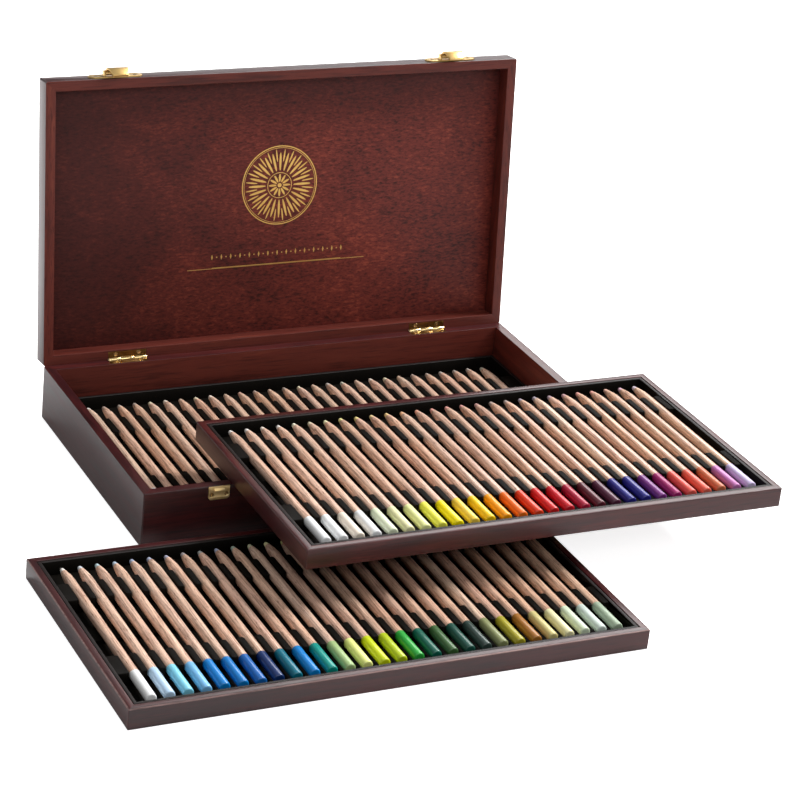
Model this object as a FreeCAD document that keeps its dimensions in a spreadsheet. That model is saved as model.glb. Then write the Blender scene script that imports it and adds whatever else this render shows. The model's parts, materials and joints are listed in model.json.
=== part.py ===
import FreeCAD, Part
import math
import os
import Sketcher

# A wooden presentation box for 84 sharpened pastel pencils. The lid stands open on two small brass
# hinges, and two of the three pencil layers are trays that have been lifted out: the upper tray lies
# on the front rim of the box, the lower one on the table in front of it.
# Lengths are millimetres and angles are degrees. The origin is the middle of the underside of the
# box, X runs to the right, Y to the back and Z up.

boxSizes = {
    "row_room": 54.8,
    "end_room": 45.5,
    "base_height": 43.0,
    "board": 7.8,
    "base_panel": 4.0,
    "lid_height": 16.6,
    "lid_panel": 3.2,
    "rebate": 4.0,
    "panel_fit": 0.1,
    "edge_round": 1.0,
    "rim_gap": 0.1,
    "lid_angle": 96.15,
}
traySizes = {
    "tray_gap": 0.6,
    "tray_height": 15.5,
    "tray_board": 5.4,
    "tray_panel": 3.0,
    "tray_rebate": 2.6,
    "tray_round": 0.6,
    "upper_shift": 58.2,
    "upper_overlap": 72.8,
    "lower_shift": 99.9,
    "lower_gap": 20.0,
    "rest_gap": 0.3,
}
insertSizes = {
    "insert_gap": 0.3,
    "tray_insert": 12.2,
    "base_insert": 14.2,
    "insert_margin": 2.6,
    "comb_width": 23.5,
    "comb_spacing": 98.6,
    "comb_shift": 2.5,
    "comb_rise": 3.1,
    "rest_width": 18.0,
    "rest_shift": 5.6,
    "well_drop": 6.9,
    "slot_gap": 0.3,
}
pencilSizes = {
    "pencil_length": 176.5,
    "pencil_width": 7.4,
    "pencil_pitch": 12.6,
    "row_shift": 1.8,
    "pencil_below": 0.4,
    "point_length": 19.0,
    "point_tip": 1.2,
}
hingeSizes = {
    "hinge_length": 31.0,
    "hinge_inset": 68.0,
    "leaf_thick": 1.2,
    "leaf_reach": 6.5,
    "knuckle_radius": 2.0,
    "knuckle_middle": 10.6,
    "knuckle_gap": 0.25,
    "knuckle_room": 0.3,
    "hinge_pin": 0.9,
    "bore_gap": 0.05,
    "mortise_gap": 0.2,
    "leaf_screw_in": 4.4,
    "leaf_screw_spread": 19.0,
}
catchSizes = {
    "clasp_inset": 56.8,
    "catch_width": 16.0,
    "catch_height": 10.3,
    "catch_thick": 1.0,
    "catch_corner": 1.5,
    "catch_screw_spread": 11.4,
    "catch_screw_drop": 6.2,
    "hook_width": 8.0,
    "hook_drop": 1.2,
    "hook_tall": 2.0,
    "hook_rise": 1.3,
}
claspSizes = {
    "clasp_width": 42.0,
    "clasp_tall": 10.4,
    "clasp_low": 2.4,
    "clasp_thick": 1.0,
    "clasp_corner": 3.0,
    "clasp_screw_spread": 31.0,
    "ear_thick": 1.2,
    "ear_foot": 3.0,
    "pin_out": 3.4,
    "pin_up": 6.5,
    "clasp_pin": 0.9,
    "lever_width": 16.4,
    "lever_barrel": 1.9,
    "lever_thick": 1.3,
    "lever_bow": 2.6,
    "lever_tip": 5.2,
    "lever_taper": 2.4,
    "lever_play": 0.3,
}
screwSizes = {
    "screw_head": 1.6,
    "screw_sink": 0.6,
    "screw_neck": 0.8,
    "screw_length": 7.0,
    "screw_gap": 0.05,
}
tables = [boxSizes, traySizes, insertSizes, pencilSizes, hingeSizes, catchSizes, claspSizes, screwSizes]


class Size:
    """A number together with the spreadsheet expression that gives it."""

    def __init__(self, text, value):
        self.text = text
        self.value = value

    def __add__(self, other):
        return Size(f"({self.text} + {words(other)})", self.value + number(other))

    def __radd__(self, other):
        return Size(f"({words(other)} + {self.text})", number(other) + self.value)

    def __sub__(self, other):
        return Size(f"({self.text} - {words(other)})", self.value - number(other))

    def __rsub__(self, other):
        return Size(f"({words(other)} - {self.text})", number(other) - self.value)

    def __mul__(self, other):
        return Size(f"({self.text} * {words(other)})", self.value * number(other))

    def __rmul__(self, other):
        return Size(f"({words(other)} * {self.text})", number(other) * self.value)

    def __truediv__(self, other):
        return Size(f"({self.text} / {words(other)})", self.value / number(other))

    def __neg__(self):
        return Size(f"(-1 * {self.text})", -self.value)


def words(value):
    return value.text if isinstance(value, Size) else f"({value})"


def number(value):
    return value.value if isinstance(value, Size) else float(value)


def cosine(angle):
    return Size(f"cos({angle.text})", math.cos(math.radians(angle.value)))


def sine(angle):
    return Size(f"sin({angle.text})", math.sin(math.radians(angle.value)))


doc = FreeCAD.newDocument("PencilBox")
sheet = doc.addObject("Spreadsheet::Sheet", "Sizes")


class Sizes:
    """Every driving dimension by its name, as a Size."""


row = 0
for table in tables:
    for alias, value in table.items():
        row += 1
        sheet.set(f"A{row}", alias)
        sheet.set(f"B{row}", str(value))
        sheet.setAlias(f"B{row}", alias)
        setattr(Sizes, alias, Size(f"Sizes.{alias}", value))
doc.recompute()
S = Sizes

parts = []  # every sub-part, in the order in which it is made


# Sizes that several pieces share, worked out from the driving dimensions. The pencils set the box:
# the row sets its width and the pencils' length its depth.

pencilCount = 28
rowRun = (pencilCount - 1) * S.pencil_pitch
boxWidth = rowRun + S.row_room
boxDepth = S.pencil_length + S.end_room
halfWidth = boxWidth / 2
halfDepth = boxDepth / 2
innerWidth = boxWidth - 2 * S.board
innerDepth = boxDepth - 2 * S.board
trayWidth = innerWidth - 2 * S.tray_gap
trayDepth = innerDepth - 2 * S.tray_gap
trayInnerWidth = trayWidth - 2 * S.tray_board
trayInnerDepth = trayDepth - 2 * S.tray_board
pencilRadius = S.pencil_width / 2
hingeY = halfDepth
hingeZ = S.base_height + S.rim_gap / 2
lidMiddleY = -halfDepth
lidFrontY = lidMiddleY - halfDepth
lidRimZ = S.rim_gap / 2
cut = S.edge_round  # how far every cutting shape runs past the wood
octagonShare = math.tan(math.pi / 8)
hookSlopeShare = 0.7
bowShares = {"innerStart": 0.33, "innerEnd": 0.55, "outerStart": 0.24, "outerEnd": 0.62, "lip": 0.96}
rowStart = S.row_shift - rowRun / 2
hingeMiddle = halfWidth - S.hinge_inset
claspMiddle = halfWidth - S.clasp_inset


def bind(thing, name, value):
    """Sets a property, and ties it to the spreadsheet where the value comes from there."""
    if isinstance(value, Size):
        thing.setExpression(name, value.text)
    else:
        setattr(thing, name, value)


def newBody(label):
    body = doc.addObject("PartDesign::Body", label)
    body.Label = label
    body.AllowCompound = True
    parts.append(body)
    return body


def originPart(body, role):
    return [item for item in body.Origin.OriginFeatures if item.Role == role][0]


def newSketch(body, role, offset):
    sketch = body.newObject("Sketcher::SketchObject", "Sketch")
    sketch.AttachmentSupport = [(originPart(body, role), "")]
    sketch.MapMode = "FlatFace"
    sketch.AttachmentOffset = FreeCAD.Placement(
        FreeCAD.Vector(*[number(value) for value in offset]), FreeCAD.Rotation()
    )
    for axis, value in zip("xyz", offset):
        if isinstance(value, Size):
            sketch.setExpression(f"AttachmentOffset.Base.{axis}", value.text)
    return sketch


def pinPoint(sketch, item, end, axis, value):
    """Holds one point of a sketch at a coordinate."""
    if isinstance(value, Size):
        line = sketch.addConstraint(
            Sketcher.Constraint("Distance" + axis, -1, 1, item, end, value.value)
        )
        sketch.setExpression(f"Constraints[{line}]", value.text)
    else:
        onAxis = -2 if axis == "X" else -1
        sketch.addConstraint(Sketcher.Constraint("PointOnObject", item, end, onAxis))


def outline(body, role, loops, offset=(0, 0, 0)):
    """A sketch of closed straight-sided loops, each a list of corners."""
    sketch = newSketch(body, role, offset)
    first = 0
    for corners in loops:
        count = len(corners)
        spots = [FreeCAD.Vector(number(u), number(v), 0) for u, v in corners]
        for index in range(count):
            sketch.addGeometry(Part.LineSegment(spots[index], spots[(index + 1) % count]), False)
        for index in range(count):
            following = first + (index + 1) % count
            sketch.addConstraint(Sketcher.Constraint("Coincident", first + index, 2, following, 1))
        for index, (u, v) in enumerate(corners):
            pinPoint(sketch, first + index, 1, "X", u)
            pinPoint(sketch, first + index, 1, "Y", v)
        first += count
    return sketch


def disc(body, role, radius, offset=(0, 0, 0)):
    """A sketch of one circle about its own origin."""
    sketch = newSketch(body, role, offset)
    circle = Part.Circle(FreeCAD.Vector(0, 0, 0), FreeCAD.Vector(0, 0, 1), number(radius))
    sketch.addGeometry(circle, False)
    sketch.addConstraint(Sketcher.Constraint("Coincident", 0, 3, -1, 1))
    line = sketch.addConstraint(Sketcher.Constraint("Radius", 0, number(radius)))
    sketch.setExpression(f"Constraints[{line}]", radius.text)
    return sketch


def octagon(body, role, radius, offset):
    """A sketch of an octagon round a circle: small round pieces that repeat have eight sides here."""
    nip = radius * octagonShare
    corners = [(radius, -nip), (radius, nip), (nip, radius), (-nip, radius)]
    corners += [(-u, -v) for u, v in corners]
    return outline(body, role, [corners], offset)


def box(left, right, low, high):
    return [(left, low), (right, low), (right, high), (left, high)]


def grow(body, sketch, length, symmetric=False, back=False):
    pad = body.newObject("PartDesign::Pad", "Pad")
    pad.Profile = sketch
    bind(pad, "Length", length)
    pad.SideType = "Symmetric" if symmetric else "One side"
    pad.Reversed = back
    return pad


def carve(body, sketch, length, symmetric=False, back=False):
    pocket = body.newObject("PartDesign::Pocket", "Pocket")
    pocket.Profile = sketch
    bind(pocket, "Length", length)
    pocket.SideType = "Symmetric" if symmetric else "One side"
    pocket.Reversed = back
    return pocket


def repeat(body, feature, length, count, whole=False):
    """Copies a feature, or the whole body, along X."""
    doc.recompute()
    pattern = body.newObject("PartDesign::LinearPattern", "Repeated")
    pattern.Originals = [feature]
    pattern.TransformMode = "Whole shape" if whole else "Features"
    pattern.Direction = (originPart(body, "X_Axis"), [""])
    pattern.Mode = "Extent"
    bind(pattern, "Length", length)
    pattern.Occurrences = count
    body.Tip = pattern
    return pattern


def chooseEdges(body, chosen):
    """The edges of the body's tip whose middle point the test accepts."""
    doc.recompute()
    names = []
    for index, edge in enumerate(body.Tip.Shape.Edges):
        middle = edge.valueAt((edge.FirstParameter + edge.LastParameter) / 2)
        if chosen(edge, middle):
            names.append(f"Edge{index + 1}")
    return (body.Tip, names)


def bevelEdges(body, across, along, chosen):
    """Takes the chosen edges off; a second distance is how far the bevel runs along the sides."""
    edges = chooseEdges(body, chosen)
    bevel = body.newObject("PartDesign::Chamfer", "Bevelled")
    bevel.Base = edges
    bind(bevel, "Size", across)
    if along is not None:
        bevel.ChamferType = "Two distances"
        bind(bevel, "Size2", along)
        bevel.FlipDirection = True


def near(one, other):
    return abs(one - number(other)) < number(S.bore_gap)


def place(body, x=0, y=0, z=0, leaned=False):
    """Puts a sub-part in the row frame. A leaned one swings with the lid about the hinge line."""
    if leaned:
        spot = (
            x,
            hingeY + y * cosine(S.lid_angle) + z * sine(S.lid_angle),
            hingeZ - y * sine(S.lid_angle) + z * cosine(S.lid_angle),
        )
        rotation = FreeCAD.Rotation(FreeCAD.Vector(1, 0, 0), -S.lid_angle.value)
    else:
        spot = (x, y, z)
        rotation = FreeCAD.Rotation()
    body.Placement = FreeCAD.Placement(FreeCAD.Vector(*[number(value) for value in spot]), rotation)
    for axis, value in zip("xyz", spot):
        if isinstance(value, Size):
            body.setExpression(f".Placement.Base.{axis}", value.text)
    if leaned:
        body.setExpression(".Placement.Rotation.Angle", (360 - S.lid_angle).text)


# Wooden frames: four mitred rails round a panel that lies in a rebate


def railPlan(side, frame):
    """The mitred rail from above, with the sharp outer corner of the joint taken off."""
    alongX = side in ("front", "back")
    half, reach = (frame["width"] / 2, frame["depth"] / 2)
    if not alongX:
        half, reach = reach, half
    nip = frame["round"]
    plan = [
        (-half + nip, reach),
        (-half + nip / 2, reach - nip / 2),
        (-half + frame["board"], reach - frame["board"]),
        (half - frame["board"], reach - frame["board"]),
        (half - nip / 2, reach - nip / 2),
        (half - nip, reach),
    ]
    sign = -1 if side in ("front", "left") else 1
    plan = [(u, v * sign) for u, v in plan]
    if not alongX:
        plan = [(v, u) for u, v in plan]
    return [(u, v + frame["middle"]) for u, v in plan]


def rail(label, side, frame):
    """One rail, in the frame's own coordinates: middle in X, its own middle in Y, foot at low."""
    body = newBody(label)
    grow(body, outline(body, "XY_Plane", [railPlan(side, frame)], (0, 0, frame["low"])), frame["height"])
    alongX = side in ("front", "back")
    sign = -1 if side in ("front", "left") else 1
    reach = frame["depth"] / 2 if alongX else frame["width"] / 2
    shift = frame["middle"] if alongX else 0
    inner = (reach - frame["board"] - cut) * sign + shift
    outer = (reach - frame["board"] + frame["rebate"]) * sign + shift
    low, high = frame["low"], frame["low"] + frame["height"]
    if frame["panelOnTop"]:
        groove = box(inner, outer, high - frame["panel"], high + cut)
    else:
        groove = box(inner, outer, low - cut, low + frame["panel"])
    role = "YZ_Plane" if alongX else "XZ_Plane"
    middle = 0 if alongX else -frame["middle"]
    run = frame["width"] if alongX else frame["depth"]
    carve(body, outline(body, role, [groove], (0, 0, middle)), run + 2 * cut, symmetric=True)
    face = reach * sign + shift
    levels = [{"low": low, "high": high}[name] for name in frame["rounded"]]

    def longOuterEdge(edge, spot):
        across = spot.y if alongX else spot.x
        level = any(near(spot.z, height) for height in levels)
        return near(across, face) and level and edge.Length > number(frame["board"])

    bevelEdges(body, frame["round"], None, longOuterEdge)
    return body


def panel(label, frame):
    body = newBody(label)
    spread = 2 * (frame["board"] - frame["rebate"] + S.panel_fit)
    wide, deep = (frame["width"] - spread) / 2, (frame["depth"] - spread) / 2
    loop = [(u, v + frame["middle"]) for u, v in box(-wide, wide, -deep, deep)]
    low = frame["low"] + frame["height"] - frame["panel"] if frame["panelOnTop"] else frame["low"]
    grow(body, outline(body, "XY_Plane", [loop], (0, 0, low)), frame["panel"])
    return body


baseFrame = {
    "width": boxWidth,
    "depth": boxDepth,
    "middle": 0 * S.board,
    "low": 0 * S.base_height,
    "height": S.base_height,
    "board": S.board,
    "panel": S.base_panel,
    "rebate": S.rebate,
    "round": S.edge_round,
    "rounded": ["low"],
    "panelOnTop": False,
}
lidFrame = dict(
    baseFrame,
    middle=lidMiddleY,
    low=lidRimZ,
    height=S.lid_height,
    panel=S.lid_panel,
    rounded=["high"],
    panelOnTop=True,
)
trayFrame = dict(
    baseFrame,
    width=trayWidth,
    depth=trayDepth,
    height=S.tray_height,
    board=S.tray_board,
    panel=S.tray_panel,
    rebate=S.tray_rebate,
    round=S.tray_round,
    rounded=["low", "high"],
)


def facing(way, x, y, z):
    """The plane and offset of a sketch that is driven from a point down, up or back."""
    if way == "back":
        return "XZ_Plane", (x, z, -y)
    return "XY_Plane", (x, y, z)


def drill(body, x, y, z, way, radius, depth):
    """A hole for a screw. Screws are eight-sided here, and so are their holes."""
    role, offset = facing(way, x, y, z)
    carve(body, octagon(body, role, radius + S.screw_gap, offset), depth, back=way == "up")


def sinkHole(body, x, y, z, way):
    """The hole of a plate, with a seat for the flat head."""
    drill(body, x, y, z, way, S.screw_head, S.screw_sink)
    drill(body, x, y, z, way, S.screw_neck, S.screw_length)


def pilotHole(body, x, y, z, way, thick):
    """The hole in the wood, from the underside of a plate to just past the screw's end."""
    drill(body, x, y, z, way, S.screw_neck, S.screw_length - thick + S.screw_gap)


def screws(label, spots, way):
    """Flat-headed brass screws, one solid each."""
    body = newBody(label)
    for x, y, z in spots:
        role, offset = facing(way, x, y, z)
        grow(body, octagon(body, role, S.screw_neck, offset), S.screw_length, back=way != "up")
        grow(body, octagon(body, role, S.screw_head, offset), S.screw_sink, back=way != "up")
    return body


# Hinges: leaves let into the rims, knuckles on the hinge line in the plane of the back faces


def leafScrews(middle):
    spread = S.leaf_screw_spread / 2
    return [middle - spread, middle + spread]


def mortise(body, middle, up):
    """The recess for one leaf and the groove for the knuckles, cut in a back rail.

    The body's own Y is measured from the hinge line when up is true, and from the box middle when not.
    """
    lineY = 0 * S.board if up else hingeY
    lineZ = 0 * S.board if up else hingeZ
    wide = S.hinge_length / 2 + S.mortise_gap
    rim = lidRimZ if up else S.base_height
    plan = box(middle - wide, middle + wide, lineY - S.leaf_reach - S.mortise_gap, lineY + cut)
    floor = rim if up else rim - S.leaf_thick
    carve(body, outline(body, "XY_Plane", [plan], (0, 0, floor)), S.leaf_thick, back=True)
    groove = disc(body, "YZ_Plane", S.knuckle_radius + S.mortise_gap, (lineY, lineZ, middle))
    carve(body, groove, 2 * wide, symmetric=True)
    for x in leafScrews(middle):
        way = "up" if up else "down"
        level = rim + S.leaf_thick if up else rim - S.leaf_thick
        pilotHole(body, x, lineY - S.leaf_screw_in, level, way, S.leaf_thick)


def hingeLeaf(label, middle, up):
    """One leaf with its knuckles, in coordinates of the hinge line."""
    body = newBody(label)
    sign = 1 if up else -1
    rim, inside = sign * lidRimZ, sign * (lidRimZ + S.leaf_thick)
    low, high = (rim, inside) if up else (inside, rim)
    plate = box(-S.leaf_reach, 0, low, high)
    grow(body, outline(body, "YZ_Plane", [plate]), S.hinge_length, symmetric=True)
    grow(body, disc(body, "YZ_Plane", S.knuckle_radius), S.hinge_length, symmetric=True)
    back = -(S.knuckle_radius + S.knuckle_room)
    ahead = S.knuckle_radius + S.knuckle_room
    if up:
        start, end = S.knuckle_middle / 2, S.hinge_length / 2 + S.knuckle_room
        loops = [box(start, end, back, ahead), box(-end, -start, back, ahead)]
    else:
        gap = S.knuckle_middle / 2 + S.knuckle_gap
        loops = [box(-gap, gap, back, ahead)]
    carve(body, outline(body, "XY_Plane", loops), 2 * ahead, symmetric=True)
    bore = disc(body, "YZ_Plane", S.hinge_pin + S.bore_gap)
    carve(body, bore, S.hinge_length + 2 * S.knuckle_room, symmetric=True)
    for x in leafScrews(0 * S.hinge_length):
        sinkHole(body, x, -S.leaf_screw_in, rim, "up" if up else "down")
    if up:
        place(body, middle, 0, 0, leaned=True)
    else:
        place(body, middle, hingeY, hingeZ)
    return body


# The box: four walls and a floor panel


def buildBase():
    front = rail("base_front_wall", "front", baseFrame)
    for middle in (-claspMiddle, claspMiddle):
        for x in catchScrews(middle):
            pilotHole(front, x, -halfDepth, S.base_height - S.catch_screw_drop, "back", S.catch_thick)
    back = rail("base_back_wall", "back", baseFrame)
    for middle in (-hingeMiddle, hingeMiddle):
        mortise(back, middle, up=False)
    rail("base_left_wall", "left", baseFrame)
    rail("base_right_wall", "right", baseFrame)
    panel("base_floor_panel", baseFrame)


# The lid, modelled closed in coordinates of the hinge line and leaned back with its placement


def buildLid():
    front = rail("lid_front_rail", "front", lidFrame)
    for middle in (-claspMiddle, claspMiddle):
        for x in claspScrews(middle):
            pilotHole(front, x, lidFrontY, claspScrewZ, "back", S.clasp_thick)
    back = rail("lid_back_rail", "back", lidFrame)
    for middle in (-hingeMiddle, hingeMiddle):
        mortise(back, middle, up=True)
    pieces = [front, back]
    pieces.append(rail("lid_left_rail", "left", lidFrame))
    pieces.append(rail("lid_right_rail", "right", lidFrame))
    pieces.append(panel("lid_panel", lidFrame))
    for body in pieces:
        place(body, 0, 0, 0, leaned=True)


def buildHinges():
    for side, middle in (("left", -hingeMiddle), ("right", hingeMiddle)):
        hingeLeaf(f"hinge_{side}_base_leaf", middle, up=False)
        hingeLeaf(f"hinge_{side}_lid_leaf", middle, up=True)
        pin = newBody(f"hinge_{side}_pin")
        grow(pin, disc(pin, "YZ_Plane", S.hinge_pin), S.hinge_length, symmetric=True)
        place(pin, middle, hingeY, hingeZ)
    spots = leafScrews(-hingeMiddle) + leafScrews(hingeMiddle)
    screws("hinge_base_screws", [(x, hingeY - S.leaf_screw_in, S.base_height) for x in spots], "down")
    lidScrews = screws("hinge_lid_screws", [(x, -S.leaf_screw_in, lidRimZ) for x in spots], "up")
    place(lidScrews, 0, 0, 0, leaned=True)


# Catches on the front wall of the box


def catchScrews(middle):
    spread = S.catch_screw_spread / 2
    return [middle - spread, middle + spread]


def buildCatches():
    for side, middle in (("left", -claspMiddle), ("right", claspMiddle)):
        body = newBody(f"catch_{side}_plate")
        half = S.catch_width / 2
        sketch = outline(body, "XZ_Plane", [box(-half, half, -S.catch_height, 0)])
        grow(body, sketch, S.catch_thick)
        bevelEdges(
            body,
            S.catch_corner,
            None,
            lambda edge, spot: near(edge.Length, S.catch_thick) and near(spot.z, -S.catch_height),
        )
        face = -S.catch_thick
        hook = [
            (face, -S.hook_drop),
            (face - S.hook_rise, -S.hook_drop - S.hook_tall * hookSlopeShare),
            (face - S.hook_rise, -S.hook_drop - S.hook_tall),
            (face, -S.hook_drop - S.hook_tall),
        ]
        grow(body, outline(body, "YZ_Plane", [hook]), S.hook_width, symmetric=True)
        for x in catchScrews(0 * S.catch_width):
            sinkHole(body, x, face, -S.catch_screw_drop, "back")
        place(body, middle, -halfDepth, S.base_height)
    level = S.base_height - S.catch_screw_drop
    spots = [(x, -halfDepth - S.catch_thick, level) for middle in (-claspMiddle, claspMiddle)
             for x in catchScrews(middle)]
    screws("catch_screws", spots, "back")


# Clasps on the front rail of the lid: a plate with two ears, a pin and a bowed lever


claspScrewZ = lidRimZ + S.clasp_low + S.clasp_tall / 2


def claspScrews(middle):
    spread = S.clasp_screw_spread / 2
    return [middle - spread, middle + spread]


def claspPlate(label, middle):
    """The plate in coordinates of the lid's front face above its rim."""
    body = newBody(label)
    half = S.clasp_width / 2
    low, high = S.clasp_low, S.clasp_low + S.clasp_tall
    grow(body, outline(body, "XZ_Plane", [box(-half, half, low, high)]), S.clasp_thick)
    bevelEdges(
        body,
        S.clasp_corner,
        None,
        lambda edge, spot: near(edge.Length, S.clasp_thick) and near(abs(spot.x), half),
    )
    ear = [
        (0, S.pin_up - S.ear_foot),
        (-S.pin_out, S.pin_up - S.lever_barrel),
        (-S.pin_out - S.lever_barrel, S.pin_up - S.lever_barrel / 2),
        (-S.pin_out - S.lever_barrel, S.pin_up + S.lever_barrel / 2),
        (-S.pin_out, S.pin_up + S.lever_barrel),
        (0, S.pin_up + S.ear_foot),
    ]
    earX = S.lever_width / 2 + S.lever_play + S.ear_thick / 2
    for x in (-earX, earX):
        grow(body, outline(body, "YZ_Plane", [ear], (0, 0, x)), S.ear_thick, symmetric=True)
    bore = disc(body, "YZ_Plane", S.clasp_pin + S.bore_gap, (-S.pin_out, S.pin_up, 0))
    carve(body, bore, S.clasp_width, symmetric=True)
    for x in claspScrews(0 * S.clasp_width):
        sinkHole(body, x, -S.clasp_thick, S.clasp_low + S.clasp_tall / 2, "back")
    place(body, middle, lidFrontY, lidRimZ, leaned=True)


def claspLever(label, middle):
    """The lever in coordinates of its pin. It bows outwards and ends in a lip behind the hook."""
    body = newBody(label)
    lipY = S.pin_out - S.catch_thick - S.hook_rise - S.lever_play
    hookFoot = -(S.pin_up + S.rim_gap + S.hook_drop + S.hook_tall)
    tip = -(S.pin_up + S.lever_tip)
    bow = -(S.lever_barrel + S.lever_bow)
    blade = [
        (S.lever_thick / 2, 0),
        (bow + S.lever_thick, tip * bowShares["innerStart"]),
        (bow + S.lever_thick, tip * bowShares["innerEnd"]),
        (-S.lever_thick / 2, hookFoot + S.lever_play),
        (lipY, hookFoot - S.lever_play),
        (lipY, tip * bowShares["lip"]),
        (-S.lever_thick / 2, tip),
        (bow, tip * bowShares["outerEnd"]),
        (bow, tip * bowShares["outerStart"]),
        (-S.lever_barrel, S.lever_barrel / 2),
    ]
    grow(body, outline(body, "YZ_Plane", [blade]), S.lever_width, symmetric=True)
    grow(body, disc(body, "YZ_Plane", S.lever_barrel), S.lever_width, symmetric=True)
    half = S.lever_width / 2
    taper, below = half - S.lever_taper, tip - cut
    rightNip = [(half, tip / 2), (half, below), (taper, below), (taper, tip)]
    leftNip = [(-half, tip / 2), (-taper, tip), (-taper, below), (-half, below)]
    carve(body, outline(body, "XZ_Plane", [rightNip, leftNip]), 4 * S.pin_out, symmetric=True)
    carve(body, disc(body, "YZ_Plane", S.clasp_pin + S.bore_gap), S.clasp_width, symmetric=True)
    place(body, middle, lidFrontY - S.pin_out, lidRimZ + S.pin_up, leaned=True)


def buildClasps():
    for side, middle in (("left", -claspMiddle), ("right", claspMiddle)):
        claspPlate(f"clasp_{side}_plate", middle)
        claspLever(f"clasp_{side}_lever", middle)
        pin = newBody(f"clasp_{side}_pin")
        length = S.lever_width + 2 * (S.lever_play + S.ear_thick)
        grow(pin, disc(pin, "YZ_Plane", S.clasp_pin), length, symmetric=True)
        place(pin, middle, lidFrontY - S.pin_out, lidRimZ + S.pin_up, leaned=True)
    spots = [(x, lidFrontY - S.clasp_thick, claspScrewZ) for middle in (-claspMiddle, claspMiddle)
             for x in claspScrews(middle)]
    place(screws("clasp_screws", spots, "back"), 0, 0, 0, leaned=True)


# Moulded inserts with two comb bars and a low bar between them, and the pencils in their slots


def insert(label, wide, deep, tall, axis):
    """The insert about the middle of its layer, with its foot at zero; axis is the pencils' height."""
    body = newBody(label)
    halfX, halfY = wide / 2, deep / 2
    grow(body, outline(body, "XY_Plane", [box(-halfX, halfX, -halfY, halfY)]), tall)
    left, front = halfX - S.insert_margin, halfY - S.insert_margin
    combTop = axis + S.comb_rise
    top = outline(body, "XY_Plane", [box(-left, left, -front, front)], (0, 0, combTop))
    carve(body, top, tall - combTop, back=True)
    frontComb = S.comb_shift - S.comb_spacing / 2
    backComb = S.comb_shift + S.comb_spacing / 2
    half = S.comb_width / 2
    wells = [
        box(-left, left, -front, frontComb - half),
        box(-left, left, frontComb + half, backComb - half),
        box(-left, left, backComb + half, front),
    ]
    floor = axis - S.well_drop
    carve(body, outline(body, "XY_Plane", wells, (0, 0, floor)), combTop - floor, back=True)
    side = pencilRadius + S.slot_gap
    restLow, restHigh = S.rest_shift - S.rest_width / 2, S.rest_shift + S.rest_width / 2
    rest = outline(body, "XY_Plane", [box(-halfX, halfX, restLow, restHigh)])
    grow(body, rest, axis - side)
    slot = box(-side, side, axis - side, combTop + S.slot_gap)
    cutter = carve(
        body,
        outline(body, "XZ_Plane", [slot], (rowStart, 0, -S.comb_shift)),
        S.comb_spacing + S.comb_width + S.insert_gap,
        symmetric=True,
    )
    repeat(body, cutter, rowRun, pencilCount)
    return body


def pencilRow(label, axis):
    """A row of pencils with their points to the back; axis is their height over the row's foot."""
    body = newBody(label)
    barrel = octagon(body, "XZ_Plane", pencilRadius, (rowStart, axis, 0))
    one = grow(body, barrel, S.pencil_length, symmetric=True)
    end = S.pencil_length / 2
    bevelEdges(
        body, pencilRadius - S.point_tip, S.point_length, lambda edge, spot: near(spot.y, end)
    )
    repeat(body, one, rowRun, pencilCount, whole=True)
    return body


def buildBaseLayer():
    wide, deep = innerWidth - 2 * S.insert_gap, innerDepth - 2 * S.insert_gap
    axis = S.base_insert - S.pencil_below - pencilRadius
    place(insert("base_insert", wide, deep, S.base_insert, axis), 0, 0, S.base_panel)
    place(pencilRow("base_pencils", axis), 0, 0, S.base_panel)


def buildTray(name, x, y, z):
    for side in ("front", "back", "left", "right"):
        place(rail(f"{name}_{side}_rail", side, trayFrame), x, y, z)
    place(panel(f"{name}_floor_panel", trayFrame), x, y, z)
    wide, deep = trayInnerWidth - 2 * S.insert_gap, trayInnerDepth - 2 * S.insert_gap
    axis = S.tray_height - S.tray_panel - S.pencil_below - pencilRadius
    place(insert(f"{name}_insert", wide, deep, S.tray_insert, axis), x, y, z + S.tray_panel)
    place(pencilRow(f"{name}_pencils", axis), x, y, z + S.tray_panel)


buildBase()
buildLid()
buildHinges()
buildCatches()
buildClasps()
buildBaseLayer()
buildTray(
    "upper_tray",
    1 * S.upper_shift,
    S.upper_overlap - halfDepth - trayDepth / 2,
    S.base_height + S.rest_gap,
)
buildTray(
    "lower_tray",
    -S.lower_shift,
    -(halfDepth + S.lower_gap + trayDepth / 2),
    0 * S.tray_height,
)
doc.recompute()

for thing in doc.Objects:
    if "Invalid" in thing.State or "Error" in thing.State:
        raise RuntimeError(f"{thing.Label} failed: {thing.State}")
os.makedirs("parts", exist_ok=True)
for body in parts:
    shape = body.Shape
    if shape.isNull() or not shape.isValid() or not shape.Solids:
        raise RuntimeError(f"{body.Label} has no valid solid")
    shape.exportStep(f"parts/{body.Label}.step")
    print(body.Label, len(shape.Solids), round(shape.Volume, 1))
print(len(parts), "sub-parts")
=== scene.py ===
import json
import math
import random

import bmesh
import bpy
from mathutils import Matrix, Vector


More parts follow.
